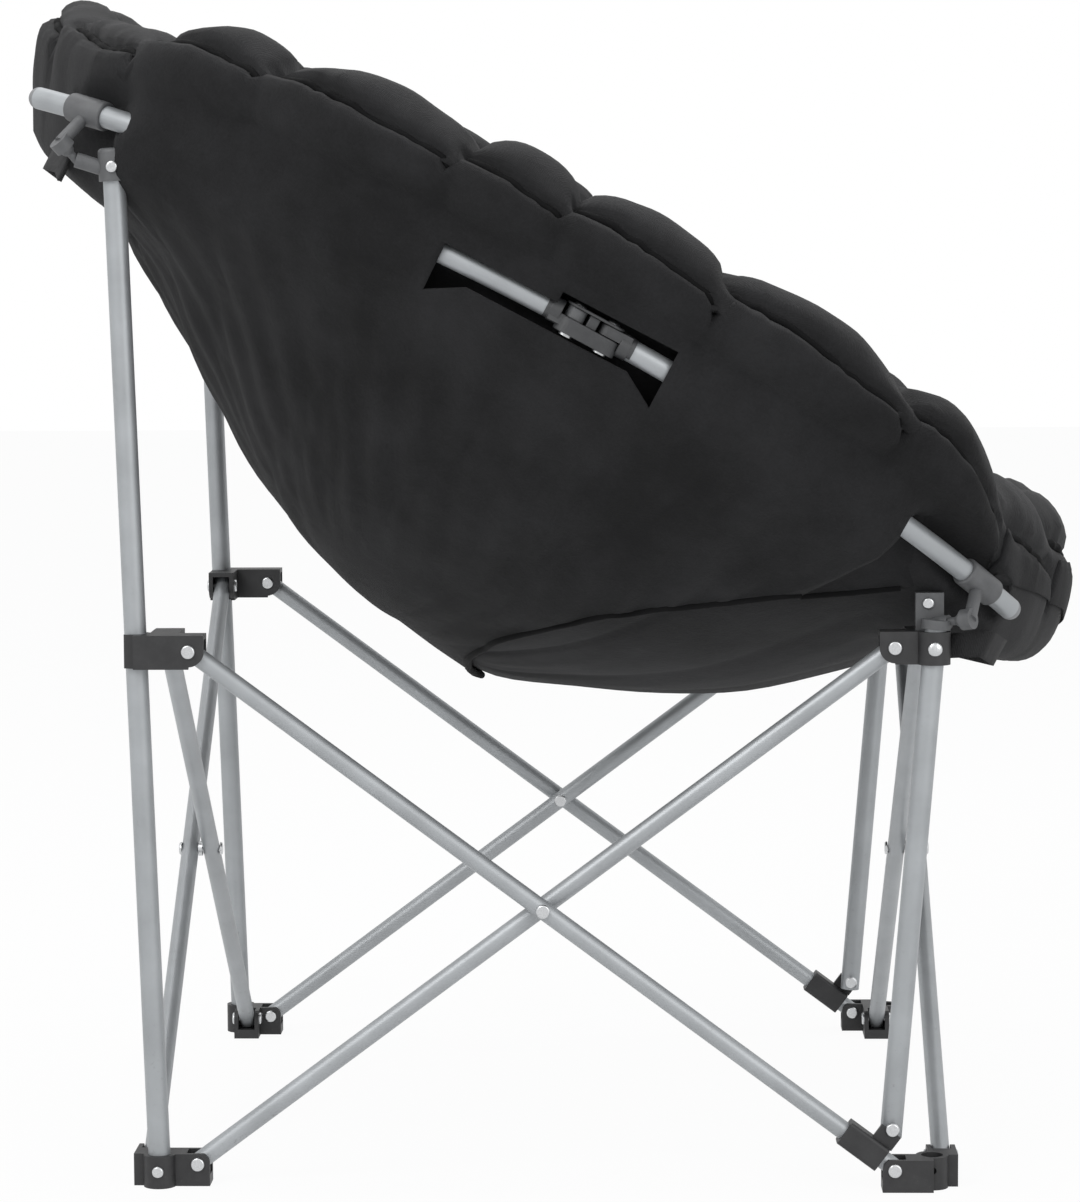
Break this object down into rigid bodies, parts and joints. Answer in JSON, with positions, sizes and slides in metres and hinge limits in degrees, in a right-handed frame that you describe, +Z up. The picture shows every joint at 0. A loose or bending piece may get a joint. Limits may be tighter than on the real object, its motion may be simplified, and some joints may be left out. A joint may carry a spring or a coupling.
{
  "type": "folding saucer chair",
  "caption": "Folding saucer chair: tubular scissor frame that folds both ways, hinged ring bars and a padded round fabric seat.",
  "frame": {"origin": "middle of the bounding box at floor level, under the feet", "axes": "+Z up, the chair faces -Y, X across"},
  "size_m": [0.9678, 0.8864, 1.0141],
  "materials": {
    "fabric_pad": "matte padded polyester",
    "fabric_sleeve": "matte woven polyester",
    "rivet_steel": "bright",
    "end_plug": "domed bright",
    "grey_plastic": "satin",
    "scissor_tube": "silver satin",
    "frame_tube": "silver satin",
    "black_plastic": "satin"
  },
  "bodies": {
    "side_rear_near": {"rear_foot_near": "black_plastic", "rear_upright_near": "frame_tube", "rear_cap_near": "grey_plastic", "rear_rivets_near": "rivet_steel"},
    "side_rear_far": {"rear_foot_far": "black_plastic", "rear_upright_far": "frame_tube", "rear_cap_far": "grey_plastic", "rear_rivets_far": "rivet_steel"},
    "rear_1": {"rear_tube_1": "scissor_tube", "rear_cross_rivet": "rivet_steel"},
    "rear_2": {"rear_tube_2": "scissor_tube"},
    "front_1": {"front_tube_1": "scissor_tube", "front_cross_rivet": "rivet_steel"},
    "front_2": {"front_tube_2": "scissor_tube"},
    "seat": {"seat_cushion": "fabric_pad", "seat_sleeves": "fabric_sleeve"},
    "side_a_near": {"side_tube_a_near": "scissor_tube", "side_cross_rivet_near": "rivet_steel"},
    "side_b_near": {"side_tube_b_near": "scissor_tube"},
    "leg_near": {"front_leg_near": "frame_tube", "front_hub_near": "black_plastic", "front_cap_near": "grey_plastic", "front_leg_rivets_near": "rivet_steel"},
    "front_foot_near": {"front_foot_near": "black_plastic", "front_foot_rivets_near": "rivet_steel"},
    "sleeve_near": {"leg_sleeve_near": "black_plastic"},
    "slider_near": {"slider_near": "black_plastic", "slider_rivets_near": "rivet_steel"},
    "ring_rear_near": {"ring_bar_rear_near": "frame_tube", "ring_tip_rear_near": "end_plug", "ring_corner_rear_near": "grey_plastic", "ring_end_rear_near": "grey_plastic"},
    "ring_mid_near": {"ring_mid_near": "grey_plastic", "ring_mid_rivets_near": "rivet_steel"},
    "ring_front_near": {"ring_bar_front_near": "frame_tube", "ring_tip_front_near": "end_plug", "ring_corner_front_near": "grey_plastic", "ring_end_front_near": "grey_plastic"},
    "side_a_far": {"side_tube_a_far": "scissor_tube", "side_cross_rivet_far": "rivet_steel"},
    "side_b_far": {"side_tube_b_far": "scissor_tube"},
    "leg_far": {"front_leg_far": "frame_tube", "front_hub_far": "black_plastic", "front_cap_far": "grey_plastic", "front_leg_rivets_far": "rivet_steel"},
    "front_foot_far": {"front_foot_far": "black_plastic", "front_foot_rivets_far": "rivet_steel"},
    "sleeve_far": {"leg_sleeve_far": "black_plastic"},
    "slider_far": {"slider_far": "black_plastic", "slider_rivets_far": "rivet_steel"},
    "ring_rear_far": {"ring_bar_rear_far": "frame_tube", "ring_tip_rear_far": "end_plug", "ring_corner_rear_far": "grey_plastic", "ring_end_rear_far": "grey_plastic"},
    "ring_mid_far": {"ring_mid_far": "grey_plastic", "ring_mid_rivets_far": "rivet_steel"},
    "ring_front_far": {"ring_bar_front_far": "frame_tube", "ring_tip_front_far": "end_plug", "ring_corner_front_far": "grey_plastic", "ring_end_front_far": "grey_plastic"}
  },
  "joints": [
    {"name": "fold", "type": "hinge", "parent": "side_rear_near", "child": "side_b_near", "pos_m": [-0.323, 0.30469, 0.019], "axis": [-1, 0, 0], "range_deg": [0, 48.51]},
    {"name": "side_a_near_turn", "type": "hinge", "parent": "side_b_near", "child": "side_a_near", "pos_m": [-0.333, 0.00469, 0.2425], "axis": [-1, 0, 0], "range_deg": [-97.22, 0]},
    {"name": "leg_near_turn", "type": "hinge", "parent": "side_b_near", "child": "leg_near", "pos_m": [-0.323, -0.29531, 0.466], "axis": [-1, 0, 0], "range_deg": [-48.61, 0]},
    {"name": "front_foot_near_turn", "type": "hinge", "parent": "side_a_near", "child": "front_foot_near", "pos_m": [-0.343, -0.29531, 0.019], "axis": [-1, 0, 0], "range_deg": [0, 48.61]},
    {"name": "sleeve_near_slide", "type": "slide", "parent": "side_a_near", "child": "sleeve_near", "axis": [0, 0.8019, 0.5974], "range_m": [0, 0.31033]},
    {"name": "ring_rear_near_turn", "type": "hinge", "parent": "side_rear_near", "child": "ring_rear_near", "pos_m": [-0.34, 0.40326, 0.89072], "axis": [0.3575, -0.5944, -0.7204], "range_deg": [0, 98.62]},
    {"name": "ring_mid_near_turn", "type": "hinge", "parent": "ring_rear_near", "child": "ring_mid_near", "pos_m": [-0.44465, -0.02533, 0.74792], "axis": [0, -0.469, 0.8832], "range_deg": [0, 62.25]},
    {"name": "ring_front_near_turn", "type": "hinge", "parent": "leg_near", "child": "ring_front_near", "pos_m": [-0.34, -0.35099, 0.49019], "axis": [-0.5377, -0.8258, 0.1702], "range_deg": [0, 114.22]},
    {"name": "slider_near_turn", "type": "hinge", "parent": "side_a_near", "child": "slider_near", "pos_m": [-0.343, 0.30469, 0.466], "axis": [-1, 0, 0], "range_deg": [0, 48.61]},
    {"name": "rear_1_turn", "type": "hinge", "parent": "side_rear_near", "child": "rear_1", "pos_m": [-0.3, 0.34769, 0.019], "axis": [0, -1, 0], "range_deg": [0, 48.61]},
    {"name": "rear_2_turn", "type": "hinge", "parent": "rear_1", "child": "rear_2", "pos_m": [0, 0.33769, 0.2425], "axis": [0, -1, 0], "range_deg": [-97.22, 0]},
    {"name": "rear_far_turn", "type": "hinge", "parent": "rear_2", "child": "side_rear_far", "pos_m": [0.3, 0.32769, 0.019], "axis": [0, -1, 0], "range_deg": [0, 48.61]},
    {"name": "slider_far_turn", "type": "hinge", "parent": "rear_1", "child": "slider_far", "pos_m": [0.3, 0.34769, 0.466], "axis": [0, -1, 0], "range_deg": [-48.61, 0]},
    {"name": "side_b_far_turn", "type": "hinge", "parent": "side_rear_far", "child": "side_b_far", "pos_m": [0.323, 0.30469, 0.019], "axis": [-1, 0, 0], "range_deg": [0, 48.61]},
    {"name": "side_a_far_turn", "type": "hinge", "parent": "side_b_far", "child": "side_a_far", "pos_m": [0.333, 0.00469, 0.2425], "axis": [-1, 0, 0], "range_deg": [-97.22, 0]},
    {"name": "leg_far_turn", "type": "hinge", "parent": "side_b_far", "child": "leg_far", "pos_m": [0.323, -0.29531, 0.466], "axis": [-1, 0, 0], "range_deg": [-48.61, 0]},
    {"name": "front_foot_far_turn", "type": "hinge", "parent": "side_a_far", "child": "front_foot_far", "pos_m": [0.343, -0.29531, 0.019], "axis": [-1, 0, 0], "range_deg": [0, 48.61]},
    {"name": "sleeve_far_slide", "type": "slide", "parent": "side_a_far", "child": "sleeve_far", "axis": [0, 0.8019, 0.5974], "range_m": [0, 0.31033]},
    {"name": "ring_rear_far_turn", "type": "hinge", "parent": "side_rear_far", "child": "ring_rear_far", "pos_m": [0.34, 0.40326, 0.89072], "axis": [0.3575, 0.5944, 0.7204], "range_deg": [0, 98.62]},
    {"name": "ring_mid_far_turn", "type": "hinge", "parent": "ring_rear_far", "child": "ring_mid_far", "pos_m": [0.44465, -0.02533, 0.74792], "axis": [0, 0.469, -0.8832], "range_deg": [0, 62.25]},
    {"name": "ring_front_far_turn", "type": "hinge", "parent": "leg_far", "child": "ring_front_far", "pos_m": [0.34, -0.35099, 0.49019], "axis": [-0.5377, 0.8258, -0.1702], "range_deg": [0, 114.22]},
    {"name": "front_1_turn", "type": "hinge", "parent": "front_foot_near", "child": "front_1", "pos_m": [-0.3, -0.33831, 0.019], "axis": [0, -1, 0], "range_deg": [0, 48.61]},
    {"name": "front_2_turn", "type": "hinge", "parent": "front_1", "child": "front_2", "pos_m": [0, -0.32831, 0.2425], "axis": [0, -1, 0], "range_deg": [-97.22, 0]},
    {"name": "seat_tip", "type": "hinge", "parent": "side_rear_near", "child": "seat", "pos_m": [0, 0.40326, 0.89072], "axis": [1, 0, 0], "range_deg": [0, 37.07], "deforming": ["seat_cushion", "seat_sleeves"]}
  ],
  "couplings": [
    {"joint": "side_a_near_turn", "follows": "fold", "ratio": -2},
    {"joint": "leg_near_turn", "follows": "fold", "ratio": -1},
    {"joint": "front_foot_near_turn", "follows": "fold", "ratio": 1},
    {"joint": "sleeve_near_slide", "follows": "fold", "m_per_rad": 0.36577},
    {"joint": "ring_rear_near_turn", "follows": "fold", "ratio": 2.0288},
    {"joint": "ring_mid_near_turn", "follows": "fold", "ratio": 1.2805},
    {"joint": "ring_front_near_turn", "follows": "fold", "ratio": 2.3497},
    {"joint": "slider_near_turn", "follows": "fold", "ratio": 1},
    {"joint": "rear_1_turn", "follows": "fold", "ratio": 1},
    {"joint": "rear_2_turn", "follows": "fold", "ratio": -2},
    {"joint": "rear_far_turn", "follows": "fold", "ratio": 1},
    {"joint": "slider_far_turn", "follows": "fold", "ratio": -1},
    {"joint": "side_b_far_turn", "follows": "fold", "ratio": 1},
    {"joint": "side_a_far_turn", "follows": "fold", "ratio": -2},
    {"joint": "leg_far_turn", "follows": "fold", "ratio": -1},
    {"joint": "front_foot_far_turn", "follows": "fold", "ratio": 1},
    {"joint": "sleeve_far_slide", "follows": "fold", "m_per_rad": 0.36577},
    {"joint": "ring_rear_far_turn", "follows": "fold", "ratio": 2.0288},
    {"joint": "ring_mid_far_turn", "follows": "fold", "ratio": 1.2805},
    {"joint": "ring_front_far_turn", "follows": "fold", "ratio": 2.3497},
    {"joint": "front_1_turn", "follows": "fold", "ratio": 1},
    {"joint": "front_2_turn", "follows": "fold", "ratio": -2},
    {"joint": "seat_tip", "follows": "fold", "ratio": 0.76267}
  ]
}
